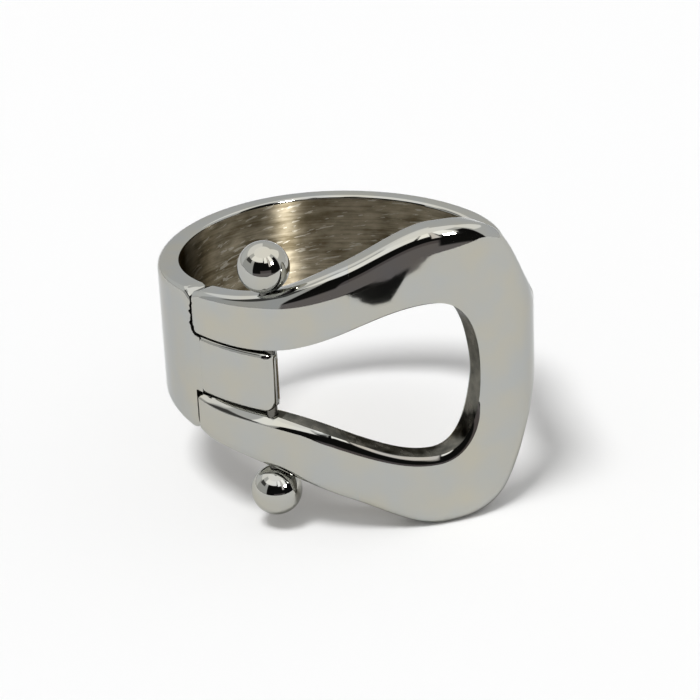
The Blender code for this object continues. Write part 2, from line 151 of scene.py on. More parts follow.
# shader node groups: effects that several finishes share
def newGroup(name, inputs, outputs):
    tree = bpy.data.node_groups.new(name, "ShaderNodeTree")
    kind = "NodeSocketFloat"
    for label, value in inputs:
        socket = tree.interface.new_socket(name=label, in_out="INPUT", socket_type=kind)
        socket.default_value = value
    for label in outputs:
        tree.interface.new_socket(name=label, in_out="OUTPUT", socket_type=kind)
    return tree, tree.nodes.new("NodeGroupInput"), tree.nodes.new("NodeGroupOutput")


def mathNode(tree, operation, first, second=None):
    node = tree.nodes.new("ShaderNodeMath")
    node.operation = operation
    for index, value in enumerate((first, second)):
        if value is None:
            continue
        if isinstance(value, (int, float)):
            node.inputs[index].default_value = value
        else:
            tree.links.new(value, node.inputs[index])
    return node.outputs[0]


def blended(tree, first, firstShare, second, secondShare):
    return mathNode(tree, "ADD", mathNode(tree, "MULTIPLY", first, firstShare),
                    mathNode(tree, "MULTIPLY", second, secondShare))


def ringCoordinates(tree):  # arc length round the ring, radius and height, in millimetres
    place = tree.nodes.new("ShaderNodeTexCoord")
    split = tree.nodes.new("ShaderNodeSeparateXYZ")
    tree.links.new(place.outputs["Object"], split.inputs[0])
    x, y, height = [mathNode(tree, "MULTIPLY", output, 1.0 / mm) for output in split.outputs]
    squares = [mathNode(tree, "MULTIPLY", value, value) for value in (x, y)]
    arc = mathNode(tree, "MULTIPLY", mathNode(tree, "ARCTAN2", x, y), ringPlan["radius"] / mm)
    return arc, mathNode(tree, "SQRT", mathNode(tree, "ADD", *squares)), height


def joined(tree, x, y, z):
    node = tree.nodes.new("ShaderNodeCombineXYZ")
    for index, value in enumerate((x, y, z)):
        tree.links.new(value, node.inputs[index])
    return node.outputs[0]


def noiseOf(tree, vector, detail, roughness):
    node = tree.nodes.new("ShaderNodeTexNoise")
    node.inputs["Scale"].default_value = 1.0
    node.inputs["Detail"].default_value = detail
    node.inputs["Roughness"].default_value = roughness
    tree.links.new(vector, node.inputs["Vector"])
    return node.outputs["Fac"]


def stretchedNoise(tree, places, factors, grain):  # grain: detail and roughness
    places = [mathNode(tree, "MULTIPLY", place, factor) for place, factor in zip(places, factors)]
    return noiseOf(tree, joined(tree, *places), *grain)


brushingGrain = {
    "fine": (3.0, 0.6),  # detail and roughness of each noise
    "wide": (2.0, 0.5),
    "scratch": (2.0, 0.55),
    "patch": (4.0, 0.6),
    "wideStretch": (2.2, 0.33, 1.0),  # along, across and through, against the fine lines
    "scratchStretch": (0.9, 6.0, 1.0),  # round the ring, up and outwards
    "patchStretch": (0.45, 1.1, 1.0),
    "scratchSlant": 0.10,
    "scratchStart": 0.63,
    "fineShare": 0.6,
}


def makeBrushing():  # scratches that run round the ring
    grain = brushingGrain
    tree, given, result = newGroup("brushing", (("Length", 6.0), ("Pitch", 0.12), ("Tilt", 0.03)),
                                   ("Lines", "Scratches", "Patches"))
    arc, radius, height = ringCoordinates(tree)
    tilted = mathNode(tree, "ADD", height, mathNode(tree, "MULTIPLY", arc, given.outputs["Tilt"]))
    along = mathNode(tree, "DIVIDE", arc, given.outputs["Length"])
    across = mathNode(tree, "DIVIDE", tilted, given.outputs["Pitch"])
    fine = noiseOf(tree, joined(tree, along, across, radius), *grain["fine"])
    wide = stretchedNoise(tree, (along, across, radius), grain["wideStretch"], grain["wide"])
    slant = mathNode(tree, "MULTIPLY", arc, grain["scratchSlant"])
    crossed = mathNode(tree, "SUBTRACT", height, slant)
    single = stretchedNoise(tree, (arc, crossed, radius), grain["scratchStretch"], grain["scratch"])
    scratches = mathNode(tree, "GREATER_THAN", single, grain["scratchStart"])
    patches = stretchedNoise(tree, (arc, height, radius), grain["patchStretch"], grain["patch"])
    lines = blended(tree, fine, grain["fineShare"], wide, 1.0 - grain["fineShare"])
    for label, value in (("Lines", lines), ("Scratches", scratches), ("Patches", patches)):
        tree.links.new(value, result.inputs[label])
    return tree


polishGrain = {
    "cloud": (2.0, 0.45),  # detail and roughness of each noise
    "hair": (2.0, 0.6),
    "hairStretch": 0.25,
    "hairSlant": 0.35,
    "hairStart": 0.66,
}


def makePolish():  # soft clouds and hairlines that hand polishing leaves
    grain = polishGrain
    tree, given, result = newGroup("polish", (("Cloud Size", 3.0), ("Hairline", 0.05)),
                                   ("Clouds", "Hairlines"))
    arc, radius, height = ringCoordinates(tree)
    size, width = given.outputs["Cloud Size"], given.outputs["Hairline"]
    place = [mathNode(tree, "DIVIDE", value, size) for value in (arc, radius, height)]
    clouds = noiseOf(tree, joined(tree, *place), *grain["cloud"])
    slant = mathNode(tree, "ADD", height, mathNode(tree, "MULTIPLY", arc, grain["hairSlant"]))
    along = mathNode(tree, "MULTIPLY", arc, grain["hairStretch"])
    across = mathNode(tree, "DIVIDE", slant, width)
    hair = noiseOf(tree, joined(tree, along, radius, across), *grain["hair"])
    hairlines = mathNode(tree, "GREATER_THAN", hair, grain["hairStart"])
    tree.links.new(clouds, result.inputs["Clouds"])
    tree.links.new(hairlines, result.inputs["Hairlines"])
    return tree


brushingGroup = makeBrushing()
polishGroup = makePolish()


def placeGroup(tree, group, **values):
    node = tree.nodes.new("ShaderNodeGroup")
    node.node_tree = group
    for label, value in values.items():
        node.inputs[label.replace("_", " ")].default_value = value
    return node


def ranged(tree, value, low, high, start=0.3, end=0.7):
    node = tree.nodes.new("ShaderNodeMapRange")
    limits = {"From Min": start, "From Max": end, "To Min": low, "To Max": high}
    for label, number in limits.items():
        node.inputs[label].default_value = number
    tree.links.new(value, node.inputs["Value"])
    return node.outputs["Result"]


def mixedColour(tree, factor, first, second):
    node = tree.nodes.new("ShaderNodeMix")
    node.data_type = "RGBA"
    for index, colour in ((6, first), (7, second)):  # the node's colour sockets
        if isinstance(colour, tuple):
            node.inputs[index].default_value = (*colour, 1.0)
        else:
            tree.links.new(colour, node.inputs[index])
    tree.links.new(factor, node.inputs[0])
    return node.outputs[2]


def bumped(tree, height, distance, strength):
    node = tree.nodes.new("ShaderNodeBump")
    node.inputs["Distance"].default_value = distance
    node.inputs["Strength"].default_value = strength
    tree.links.new(height, node.inputs["Height"])
    return node.outputs["Normal"]


def newMetal(name, edgeTint):
    material = bpy.data.materials.new(name)
    material.use_nodes = True
    shader = material.node_tree.nodes["Principled BSDF"]
    shader.inputs["Metallic"].default_value = 1.0
    shader.inputs["Specular Tint"].default_value = (*edgeTint, 1.0)
    return material, material.node_tree, shader


nickelFinish = {
    "coolTint": (0.432, 0.440, 0.425),
    "warmTint": (0.470, 0.452, 0.385),
    "edgeTint": (0.72, 0.73, 0.74),  # how far the glancing reflection is held back
    "roughness": (0.020, 0.050),
    "cloudSize": 2.2,
    "hairline": 0.03,
    "hairlineRoughness": 0.03,
    "unevenness": 0.016 * mm,
    "unevenStrength": 0.35,
}


def makeNickel(name, finish):
    material, tree, shader = newMetal(name, finish["edgeTint"])
    polish = placeGroup(tree, polishGroup, Cloud_Size=finish["cloudSize"],
                        Hairline=finish["hairline"])
    clouds, hairlines = polish.outputs["Clouds"], polish.outputs["Hairlines"]
    warmth = ranged(tree, clouds, 0.0, 1.0)
    tint = mixedColour(tree, warmth, finish["coolTint"], finish["warmTint"])
    rough = ranged(tree, clouds, *finish["roughness"])
    rough = blended(tree, rough, 1.0, hairlines, finish["hairlineRoughness"])
    uneven = bumped(tree, clouds, finish["unevenness"], finish["unevenStrength"])
    tree.links.new(tint, shader.inputs["Base Color"])
    tree.links.new(rough, shader.inputs["Roughness"])
    tree.links.new(uneven, shader.inputs["Normal"])
    return material


innerFinish = {
    "darkTint": (0.118, 0.096, 0.058),
    "lightTint": (0.340, 0.298, 0.216),
    "scratchTint": (0.600, 0.570, 0.490),
    # painted shade: the inner wall is coloured near black over an arc towards the hinge
    "paintedShadeTint": (0.022, 0.018, 0.012),  # towards the hinge
    "paintedShadeArc": ((-11.6, -15.0), (-24.0, -21.0)),  # millimetres from the back: sets in, dies away
    "edgeTint": (0.50, 0.48, 0.45),
    "lightRange": (0.40, 0.62),  # of the grain, from dark tint to light
    "patchShare": 0.5,
    "scratchShare": 0.45,
    "roughness": (0.33, 0.44),
    "anisotropy": 1.0,
    "grainTurn": 0.25,  # a quarter turn: reflections streak up and down
    "lineLength": 5.0,
    "linePitch": 0.13,
    "lineTilt": 0.05,
    "lineDepth": 0.010 * mm,
    "lineStrength": 0.7,
}


def makeBrushed(name, finish):
    material, tree, shader = newMetal(name, finish["edgeTint"])
    shader.inputs["Anisotropic"].default_value = finish["anisotropy"]
    shader.inputs["Anisotropic Rotation"].default_value = finish["grainTurn"]
    brush = placeGroup(tree, brushingGroup, Length=finish["lineLength"],
                       Pitch=finish["linePitch"], Tilt=finish["lineTilt"])
    lines, patches = brush.outputs["Lines"], brush.outputs["Patches"]
    grain = blended(tree, lines, 1.0 - finish["patchShare"], patches, finish["patchShare"])
    light = ranged(tree, grain, 0.0, 1.0, *finish["lightRange"])
    scratched = mathNode(tree, "MULTIPLY", brush.outputs["Scratches"], finish["scratchShare"])
    arc = ringCoordinates(tree)[0]
    # painted shade on the inner wall towards the hinge, set in and faded out along the arc
    setIn, dieAway = [ranged(tree, arc, 0.0, 1.0, *ends) for ends in finish["paintedShadeArc"]]
    paintedShade = mathNode(tree, "MULTIPLY", setIn, dieAway)
    tint = mixedColour(tree, light, finish["darkTint"], finish["lightTint"])
    tint = mixedColour(tree, scratched, tint, finish["scratchTint"])
    tint = mixedColour(tree, paintedShade, tint, finish["paintedShadeTint"])
    tree.links.new(tint, shader.inputs["Base Color"])
    tree.links.new(ranged(tree, lines, *finish["roughness"]), shader.inputs["Roughness"])
    scored = bumped(tree, lines, finish["lineDepth"], finish["lineStrength"])
    tree.links.new(scored, shader.inputs["Normal"])
    tangent = tree.nodes.new("ShaderNodeTangent")
    tangent.direction_type = "RADIAL"
    tangent.axis = "Z"
    tree.links.new(tangent.outputs[0], shader.inputs["Tangent"])
    return material


ballFinish = dict(nickelFinish, roughness=(0.015, 0.04), unevenness=0.004 * mm)
# the pin sits in the gap: steel, darkened further with painted shade
pinShadeFinish = dict(nickelFinish, roughness=(0.20, 0.30), coolTint=(0.12, 0.12, 0.11),
                 warmTint=(0.17, 0.16, 0.14))
# faces in the gaps between parts: unpolished metal, coloured near black as painted shade
gapShadeFinish = dict(nickelFinish, roughness=(0.40, 0.55), coolTint=(0.05, 0.05, 0.045),
                 warmTint=(0.09, 0.085, 0.07), edgeTint=(0.3, 0.3, 0.3), unevenness=0.02 * mm)
# walls inside the window: unpolished cut metal, darkened further with painted shade
windowWallShadeFinish = dict(nickelFinish, roughness=(0.14, 0.30), coolTint=(0.085, 0.085, 0.074),
                  warmTint=(0.215, 0.205, 0.175), edgeTint=(0.45, 0.45, 0.45), cloudSize=0.7,
                  unevenness=0.03 * mm)
nickel = makeNickel("polished_nickel", nickelFinish)
ballNickel = makeNickel("ball_nickel", ballFinish)
pinSteelShaded = makeNickel("pin_steel_painted_shade", pinShadeFinish)
gapShadeMetal = makeNickel("unpolished_gap_painted_shade", gapShadeFinish)
windowWallShadeMetal = makeNickel("cut_wall_painted_shade", windowWallShadeFinish)
innerBrushed = makeBrushed("brushed_inner_wall", innerFinish)
ringMetals = (nickel, innerBrushed, gapShadeMetal, windowWallShadeMetal)
polished, brushed, shadedGap, cutWallShaded = range(4)  # places in ringMetals
print("finishes made")


# mesh helpers
def makeObject(name, data, materials=ringMetals):
    mesh = bpy.data.meshes.new(name)
    data.to_mesh(mesh)
    data.free()
    for material in materials:
        mesh.materials.append(material)
    item = bpy.data.objects.new(name, mesh)
    scene.collection.objects.link(item)
    return item


edgeSteps = {  # how finely each kind of edge is divided
    "corner": 12,
    "runOut": 8,
    "bevel": 20,
    "inner": 5,
    "heelEnd": 4,
}


def quarterRound(steps):  # across and down, from the rim to the face
    pairs = []
    for index in range(steps + 1):
        turn = 0.5 * math.pi * index / steps
        pairs.append((1.0 - math.cos(turn), 1.0 - math.sin(turn)))
    return pairs


def roundEdge(width, depth):
    return [(across * width, down * depth) for across, down in quarterRound(edgeSteps["corner"])]


def softEdge(width, depth):  # tight over the outer half, with a shallow run-out over all of it
    shallow = 0.31  # the run-out's share of the depth
    pairs = []
    for across, down in quarterRound(edgeSteps["corner"]):
        across *= 0.5
        pairs.append((across, (1.0 - shallow) * down + shallow * (1.0 - across) ** 2))
    for index in range(1, edgeSteps["runOut"] + 1):
        across = 0.5 + 0.5 * index / edgeSteps["runOut"]
        pairs.append((across, shallow * (1.0 - across) ** 2))
    return [(across * width, down * depth) for across, down in pairs]


def bevelEdge(width, depth, power):  # straight at power 1, hollowing towards the face above that
    shares = [index / edgeSteps["bevel"] for index in range(edgeSteps["bevel"] + 1)]
    return [(width * share, depth * (1.0 - share) ** power) for share in shares]


# closed section of a curved wall: (across, depth, finish of the strip that starts there)
def wallSection(width, wall, lowEdge, highEdge, faceSteps, lowFinish=shadedGap):
    inner = ringPlan["innerRound"]
    innerRound = quarterRound(edgeSteps["inner"])
    lowRound, highRound = lowEdge[-1][0], highEdge[-1][0]
    flat = width - lowRound - highRound
    points = [(across, down, polished) for across, down in lowEdge]
    for index in range(1, faceSteps):
        points.append((lowRound + flat * index / faceSteps, 0.0, polished))
    points += [(width - across, down, polished) for across, down in reversed(highEdge)]
    for across, down in innerRound:
        points.append((width - across * inner, wall - down * inner, polished))
    points[-1] = (*points[-1][:2], brushed)
    for index in range(faceSteps - 1, 0, -1):
        points.append((inner + (width - 2.0 * inner) * index / faceSteps, wall, brushed))
    for across, down in reversed(innerRound):
        points.append((across * inner, wall - down * inner, polished))
    points[-1] = (*points[-1][:2], lowFinish)
    return points


def loft(sections, finishes):  # finishes: one row of slots, or one row for each section
    data = bmesh.new()
    rings = [[data.verts.new(point) for point in section] for section in sections]
    count = len(rings[0])
    for row, (first, second) in enumerate(zip(rings, rings[1:])):
        slots = finishes[row] if isinstance(finishes[0], list) else finishes
        for index in range(count):
            after = (index + 1) % count
            face = data.faces.new((first[index], first[after], second[after], second[index]))
            face.material_index = slots[index]
    for ring in (rings[0][::-1], rings[-1]):
        data.faces.new(ring).material_index = shadedGap
    bmesh.ops.recalc_face_normals(data, faces=data.faces)
    return data


def lathe(profile, centre, steps, finish=polished):  # turned about the vertical through centre
    data = bmesh.new()
    rings = []
    for radius, height in profile:
        if radius == 0.0:
            rings.append([data.verts.new((centre.x, centre.y, height))])
            continue
        ring = []
        for index in range(steps):
            turn = 2.0 * math.pi * index / steps
            ring.append(data.verts.new((centre.x + radius * math.cos(turn),
                                        centre.y + radius * math.sin(turn), height)))
        rings.append(ring)
    for first, second in zip(rings, rings[1:]):
        for index in range(steps):
            after = (index + 1) % steps
            corners = []
            for ring, place in ((first, index), (first, after), (second, after), (second, index)):
                corner = ring[0] if len(ring) == 1 else ring[place]
                if corner not in corners:
                    corners.append(corner)
            if len(corners) > 2:
                data.faces.new(corners).material_index = finish
    bmesh.ops.recalc_face_normals(data, faces=data.faces)
    return data


def cut(target, tool, operation="DIFFERENCE"):
    modifier = target.modifiers.new("cut", "BOOLEAN")
    modifier.operation = operation
    modifier.solver = "EXACT"
    modifier.object = tool
    bpy.context.view_layer.update()
    graph = bpy.context.evaluated_depsgraph_get()
    mesh = bpy.data.meshes.new_from_object(target.evaluated_get(graph))
    target.modifiers.remove(modifier)
    target.data = mesh
    bpy.data.objects.remove(tool)


cutter = {
    "halfHeight": 12.0 * mm,
    "above": -3.0 * mm,  # depths clear of the outer face and of the inner one
    "below": 4.0 * mm,
    "pastLap": 24.0,  # how far it sweeps on from the lap, in degrees
    "sectorSteps": 24,
    "boreSteps": 48,
}
joining = {  # what cleans a mesh up after its cuts
    "weld": 0.0005 * mm,
    "sliver": 0.0003 * mm,
    "sharpAngle": 32.0,
}


def sectorTool(start, end, topDepth, lowDepth):  # a sweep of the wall between two depths
    top = cutter["halfHeight"]
    corners = ((top, topDepth), (top, lowDepth), (-top, lowDepth), (-top, topDepth))
    sections = []
    for index in range(cutter["sectorSteps"] + 1):
        angle = start + (end - start) * index / cutter["sectorSteps"]
        sections.append([wallPoint(angle, height, depth) for height, depth in corners])
    return makeObject("tool", loft(sections, [shadedGap] * len(corners)))


def boreTool(radius, reach):
    profile = [(0.0, -reach), (radius, -reach), (radius, reach), (0.0, reach)]
    return makeObject("tool", lathe(profile, pinPlace, cutter["boreSteps"], shadedGap))


def smoothed(item):
    data = bmesh.new()
    data.from_mesh(item.data)
    bmesh.ops.remove_doubles(data, verts=data.verts, dist=joining["weld"])
    bmesh.ops.dissolve_degenerate(data, edges=data.edges, dist=joining["sliver"])
    data.to_mesh(item.data)
    data.free()
    item.data.shade_smooth()
    item.data.set_sharp_from_angle(angle=math.radians(joining["sharpAngle"]))


seamWear = {
    "depth": 0.30 * mm,  # of the nicks along the upper seam
    "lowerDepth": 0.02 * mm,
    "pitch": 0.27 * mm,
    "loopSeed": 3.0,
    "shankSeed": 8.0,
    "nickReach": 2.0,  # degrees that a nick runs into the loop
    "bulge": 0.3,  # share of the gap that the shank's side may close
    "heelDip": 0.12 * mm,  # how far the edges sink at the seam
    "shankDip": 0.42 * mm,
    "dipReach": 4.5,
}


def wornSeam(height, seed):  # 0.5 keeps clear of the planes on which the noise fades to nothing
    depth = seamWear["depth"] if height > 0.0 else seamWear["lowerDepth"]
    return depth * noise.noise(Vector((height / seamWear["pitch"], seed, 0.5)))


def seamDip(angle, deepest):  # the angle counts from the seam, on either side
    return deepest * (1.0 - eased(abs(angle), 0.0, seamWear["dipReach"]))


# stirrup loop
stirrupShape = {
    "wall": 1.36 * mm,
    "frontWall": (  # thicker at the crown
        (-118.0, 1.36 * mm), (-88.0, 1.62 * mm), (-50.0, 1.62 * mm), (-22.0, 1.36 * mm)),
    "outline": (  # angle, half height
        (-144.0, 4.25 * mm), (-116.4, 5.05 * mm), (-92.0, 6.70 * mm), (-65.0, 8.60 * mm),
        (-46.0, 7.80 * mm), (-30.0, 4.10 * mm), (-18.0, 2.40 * mm), (0.0, 2.40 * mm)),
    "crownAngle": -65.0,
    "footAngle": -18.0,
    "outerEdgeRound": (
        (-144.0, 0.72 * mm), (-92.0, 1.32 * mm), (-34.0, 1.32 * mm), (-8.0, 1.75 * mm)),
    "lowerEdgeRound": (  # the window's edge on the lower arm, then on the upper one
        (-144.0, 0.24 * mm), (-132.0, 0.46 * mm), (-106.0, 0.52 * mm), (-95.0, 0.95 * mm),
        (-53.0, 0.80 * mm)),
    "upperEdgeRound": (
        (-144.0, 0.08 * mm), (-112.0, 0.16 * mm), (-92.0, 0.60 * mm), (-53.0, 0.80 * mm)),
    "outerRoundDepth": (0.46, 0.36),  # depth against width, upper and lower edge
    "bevelDepth": ((-116.0, 0.95), (-97.0, 0.26)),  # the same for the window's edge
    "bevelPower": ((-116.0, 1.20), (-97.0, 2.8)),
    "slotHalfHeight": 1.87 * mm,
    "windowStart": -131.0,
    "windowWidest": -67.5,
    "windowEnd": -53.0,
    "windowHalfHeight": 4.45 * mm,
    "windowLateness": 1.40,
    "windowSquareness": 2.3,
    "slotEnd": -112.0,  # beside the tongue up to here
    "heelEndRound": 0.05 * mm,
    "upperHeelCorner": 0.42 * mm,
    "lowerHeelCorner": 0.13 * mm,
    "heelFade": 14.0,
    "heelSearch": 8.0,
    "boreRadius": 0.34 * mm,
    "boreReach": 9.5 * mm,
    "outlineLateness": 1.15,
    "lastTurn": 89.5,  # of the quarter round the window's end
    "pastLap": 8.0,
    "footPower": 6,
    "armRibs": 100,
    "endRibs": 64,
    "faceSteps": 22,
}


def outlineHalfHeight(angle):
    return valueThrough(stirrupShape["outline"], angle)


def windowHalfHeight(angle):
    start, widest = stirrupShape["windowStart"], stirrupShape["windowWidest"]
    share = min(max((angle - start) / (widest - start), 0.0), 1.0)
    opening = 0.5 - 0.5 * math.cos(math.pi * share ** stirrupShape["windowLateness"])
    low = stirrupShape["slotHalfHeight"]
    return low + (stirrupShape["windowHalfHeight"] - low) * opening


heelAngles = {}


def heelAngle(depth):  # where the circle round the pin meets this depth
    key = round(depth / mm, 4)
    if key not in heelAngles:
        low = ringPlan["seamAngle"] - stirrupShape["heelSearch"]
        high = ringPlan["seamAngle"] + stirrupShape["heelSearch"]
        for _ in range(40):  # halvings
            middle = (low + high) / 2.0
            if (planPoint(middle, depth) - pinPlace.xy).length > heelReach:
                low = middle
            else:
                high = middle
        heelAngles[key] = low
    return heelAngles[key]


def ribSection(window, outline, side, inset=0.0):  # from the window's edge to the outline
    shape = stirrupShape
    seam = ringPlan["seamAngle"]
    windowAngle, windowHeight = window
    outlineAngle, outlineHeight = outline
    outlineHeight -= seamDip(outlineAngle - seam, seamWear["heelDip"])
    arc = math.radians(outlineAngle - windowAngle) * planRadius((windowAngle + outlineAngle) / 2.0)
    width = math.hypot(arc, outlineHeight - windowHeight)
    if side > 0:
        roundDepth = shape["outerRoundDepth"][0]
        corner = shape["upperHeelCorner"]
        lowRound = valueThrough(shape["upperEdgeRound"], windowAngle)
        bevelAngle = shape["windowEnd"]  # the upper arm keeps the bevel of the window's end
    else:
        roundDepth = shape["outerRoundDepth"][1]
        corner = shape["lowerHeelCorner"]
        lowRound = valueThrough(shape["lowerEdgeRound"], windowAngle)
        bevelAngle = windowAngle
    lowEdge = bevelEdge(lowRound, lowRound * valueThrough(shape["bevelDepth"], bevelAngle),
                        valueThrough(shape["bevelPower"], bevelAngle))
    highRound = valueThrough(shape["outerEdgeRound"], outlineAngle)
    highEdge = softEdge(highRound, highRound * roundDepth)
    wall = valueThrough(shape["frontWall"], (windowAngle + outlineAngle) / 2.0)
    # the slot's walls beside the tongue take the gap's painted shade, the window's walls their own
    # darker tone with painted shade
    lowFinish = shadedGap if windowAngle < shape["slotEnd"] else cutWallShaded
    nicked = 1.0 - eased(windowAngle, seam, seam + seamWear["nickReach"])
    rows = wallSection(width, wall, lowEdge, highEdge, shape["faceSteps"], lowFinish)
    section = []
    for across, depth, _ in rows:
        across = inset + across * (1.0 - 2.0 * inset / width)
        depth = inset + depth * (1.0 - 2.0 * inset / wall)
        share = across / width
        angle = windowAngle + (outlineAngle - windowAngle) * share
        height = windowHeight + (outlineHeight - windowHeight) * share
        fade = 1.0 - eased(angle, seam, seam + shape["heelFade"])
        if fade > 0.0:
            near = max(corner - across, 0.0)
            fillet = corner - math.sqrt(max(corner * corner - near * near, 0.0))
            shift = heelAngle(depth) - seam + math.degrees(fillet / ringPlan["radius"])
            angle += shift * fade
        nick = max(wornSeam(height * side, seamWear["loopSeed"]), 0.0)
        angle += nicked * math.degrees(nick / ringPlan["radius"])
        section.append(wallPoint(angle, height * side, depth))
    return section, [slot for _, _, slot in rows]


def stirrupRibs():  # (angle, height) at the window and at the outline, from the heel to the foot
    shape = stirrupShape
    seam = ringPlan["seamAngle"]
    ribs = []
    for index in range(shape["armRibs"]):
        share = index / shape["armRibs"]
        windowAngle = seam + (shape["windowWidest"] - seam) * share
        outlineAngle = seam + (shape["crownAngle"] - seam) * share ** shape["outlineLateness"]
        ribs.append(((windowAngle, windowHalfHeight(windowAngle)),
                     (outlineAngle, outlineHalfHeight(outlineAngle))))
    reach = shape["windowEnd"] - shape["windowWidest"]
    last = ringPlan["lapAngle"] + shape["pastLap"]
    power = 2.0 / shape["windowSquareness"]
    for index in range(shape["endRibs"]):
        share = index / (shape["endRibs"] - 1)
        turn = math.radians(shape["lastTurn"] * share)
        windowAngle = shape["windowWidest"] + reach * math.sin(turn) ** power
        windowHeight = shape["windowHalfHeight"] * math.cos(turn) ** power
        outlineAngle = shape["crownAngle"] + (shape["footAngle"] - shape["crownAngle"]) * share
        outlineAngle += (last - shape["footAngle"]) * share ** shape["footPower"]
        ribs.append(((windowAngle, windowHeight), (outlineAngle, outlineHalfHeight(outlineAngle))))
    ribs.append(((shape["windowEnd"], 0.0), (last, 0.0)))
    return ribs


def movedRib(rib, distance):
    ahead = math.degrees(distance / ringPlan["radius"])
    return [(angle + ahead, height) for angle, height in rib]


def buildStirrup():
    endRound = stirrupShape["heelEndRound"]
    ribs = stirrupRibs()
    sections = []
    slots = []
    for side in (1.0, -1.0):
        half = []
        for along, inward in quarterRound(edgeSteps["heelEnd"]):  # rounds the heel's end face
            half.append(ribSection(*movedRib(ribs[0], endRound * along), side, endRound * inward))
        half += [ribSection(*rib, side) for rib in ribs[1:]]
        half = half if side > 0 else half[:-1][::-1]
        sections += [section for section, _ in half]
        slots += [row for _, row in half]
    stirrup = makeObject("stirrup_loop_polished", loft(sections, slots))
    beyond = ringPlan["lapAngle"] + cutter["pastLap"]
    cut(stirrup, sectorTool(0.0, beyond, ringPlan["lapWall"], cutter["below"]))
    cut(stirrup, sectorTool(ringPlan["lapAngle"], beyond, cutter["above"], cutter["below"]))
    cut(stirrup, boreTool(stirrupShape["boreRadius"], stirrupShape["boreReach"]))
    smoothed(stirrup)
    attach(stirrup, "stirrup")
    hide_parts("stirrup_loop")
    return stirrup


stirrup = buildStirrup()
print("stirrup loop built:", len(stirrup.data.polygons), "faces")

# shank with its tongue
shankShape = {
    "wall": 1.25 * mm,
    "thickening": 40.0,  # degrees over which it grows to the stirrup's wall at both ends
    "edgeRound": ((0.0, 1.75 * mm), (34.0, 0.50 * mm), (190.0, 0.50 * mm), (216.0, 0.72 * mm)),
    "roundDepths": (  # depth against width
        (0.0, 0.44), (28.0, 0.90), (186.0, 0.90), (208.0, 0.46), (216.0, 0.46)),
    "heights": (  # half heights
        (0.0, 2.40 * mm), (45.0, 2.90 * mm), (90.0, 3.60 * mm), (195.0, 4.00 * mm),
        (216.0, 4.25 * mm)),
    "startAngle": -8.0,  # before the lap is cut
    "spare": 3.0,  # degrees that the band runs on past the seam, under the notches
    "step": 1.25,
    "faceSteps": 14,
}
notchShape = {
    "upperCorner": 0.50 * mm,
    "lowerCorner": 0.10 * mm,
    "floorDrop": 0.03 * mm,  # below the tongue's edge
    "top": 5.0 * mm,
    "depth": 1.5 * mm,
    "sweep": 28.0,  # degrees round the pin, either way
    "sweepSteps": 28,
    "wearSteps": 56,
}
tongueShape = {
    "rootHalfHeight": 1.66 * mm,
    "tipHalfHeight": 1.71 * mm,
    "lift": 0.05 * mm,  # it stands a little high in its slot
    "tipAngle": -114.2,
    "edgeRound": 0.30 * mm,
    "roundDepth": 0.75,
    "noseAngle": 3.0,
    "noseDrop": 0.42 * mm,
    "noseBlunt": 0.4,  # keeps the last section open
    "rootAngle": 8.0,  # degrees that the root runs back into the band
    "rootShare": 0.97,  # of the wall, so that it lies inside the band
    "sunk": 0.0012 * mm,  # still inside, just before the band ends
    "sunkBefore": 0.3,
    "flushAfter": 0.3,
    "boreReach": 3.0 * mm,
    "steps": 44,
    "noseSteps": 14,
    "faceSteps": 10,
}


def shankBand():
    shape = shankShape
    seam = ringPlan["seamAngle"] + 360.0
    start = seam + shape["spare"]
    length = start - shape["startAngle"]
    steps = round(length / shape["step"])
    sections = []
    for index in range(steps + 1):
        angle = start - length * index / steps
        half = valueThrough(shape["heights"], angle) - seamDip(angle - seam, seamWear["shankDip"])
        ends = min(eased(angle, 0.0, shape["thickening"]),
                   eased(angle, seam, seam - shape["thickening"]))
        wall = stirrupShape["wall"] + (shape["wall"] - stirrupShape["wall"]) * ends
        wide = valueThrough(shape["edgeRound"], angle)
        edge = softEdge(wide, wide * valueThrough(shape["roundDepths"], angle))
        rows = wallSection(2.0 * half, wall, edge, edge, shape["faceSteps"], polished)
        sections.append([wallPoint(angle, across - half, depth) for across, depth, _ in rows])
    slots = [slot for _, _, slot in rows]
    return makeObject("shank_polished", loft(sections, slots))


def notchTool(side, corner, gap):  # room for a heel: swept round the pin, one lower corner rounded
    shape = notchShape
    reach = heelReach + gap
    floor = tongueShape["rootHalfHeight"] + side * tongueShape["lift"] - shape["floorDrop"]
    wornStart, top = floor + corner, shape["top"]
    profile = [(reach - shape["depth"], floor)]
    for up, inward in quarterRound(edgeSteps["corner"]):
        profile.append((reach - corner * inward, floor + corner * up))
    for index in range(1, shape["wearSteps"] + 1):
        height = wornStart + (top - wornStart) * index / shape["wearSteps"]
        wear = wornSeam(height * side, seamWear["shankSeed"])
        profile.append((reach + max(wear, -seamWear["bulge"] * gap), height))
    profile.append((reach - shape["depth"], top))
    far = outerPoint(ringPlan["seamAngle"]) - pinPlace.xy
    heading = math.atan2(far.y, far.x)
    sections = []
    for index in range(shape["sweepSteps"] + 1):
        share = 2.0 * index / shape["sweepSteps"] - 1.0
        turn = heading + math.radians(shape["sweep"]) * share
        across, ahead = math.cos(turn), math.sin(turn)
        sections.append([(pinPlace.x + radius * across, pinPlace.y + radius * ahead, height * side)
                         for radius, height in profile])
    return makeObject("tool", loft(sections, [shadedGap] * len(profile)))


